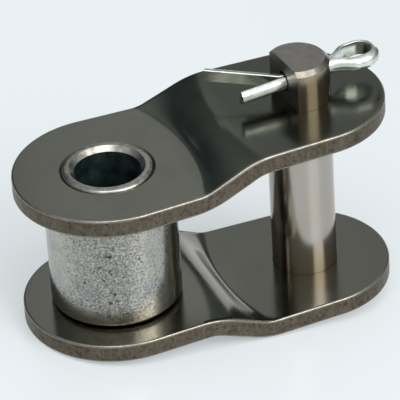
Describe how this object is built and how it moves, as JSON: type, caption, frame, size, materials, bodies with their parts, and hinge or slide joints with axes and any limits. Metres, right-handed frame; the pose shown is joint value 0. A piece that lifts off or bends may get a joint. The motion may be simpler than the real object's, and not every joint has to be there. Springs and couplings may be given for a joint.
{
  "type": "offset link",
  "caption": "Offset link of a roller chain: cranked plates pressed on a bush with a free-turning roller, and a D-ended connecting pin held at the far end by a split cotter.",
  "frame": {"origin": "on the bush axis, half way between the plates", "axes": "+X from the bush to the connecting pin, +Z along the pin towards its cottered end"},
  "size_m": [0.0302, 0.0146, 0.0202],
  "materials": {
    "plate_steel": "heat-treated and tumbled, dark oiled oxide, semi-gloss",
    "bush_steel": "case-hardened, bright turned ends",
    "roller_steel": "hardened, tumbled, light grey with fine pits",
    "pin_steel": "ground and hardened, straw-tinted where heated",
    "cotter_wire": "drawn half-round wire, bright zinc"
  },
  "bodies": {
    "link": {"upper_link_plate": "plate_steel", "lower_link_plate": "plate_steel", "bush": "bush_steel", "connecting_pin": "pin_steel", "cotter_pin": "cotter_wire"},
    "roller": {"roller": "roller_steel"}
  },
  "joints": [
    {"name": "roller_spin", "type": "hinge", "parent": "link", "child": "roller", "pos_m": [0, 0, 0], "axis": [0, 0, 1], "continuous": true}
  ]
}
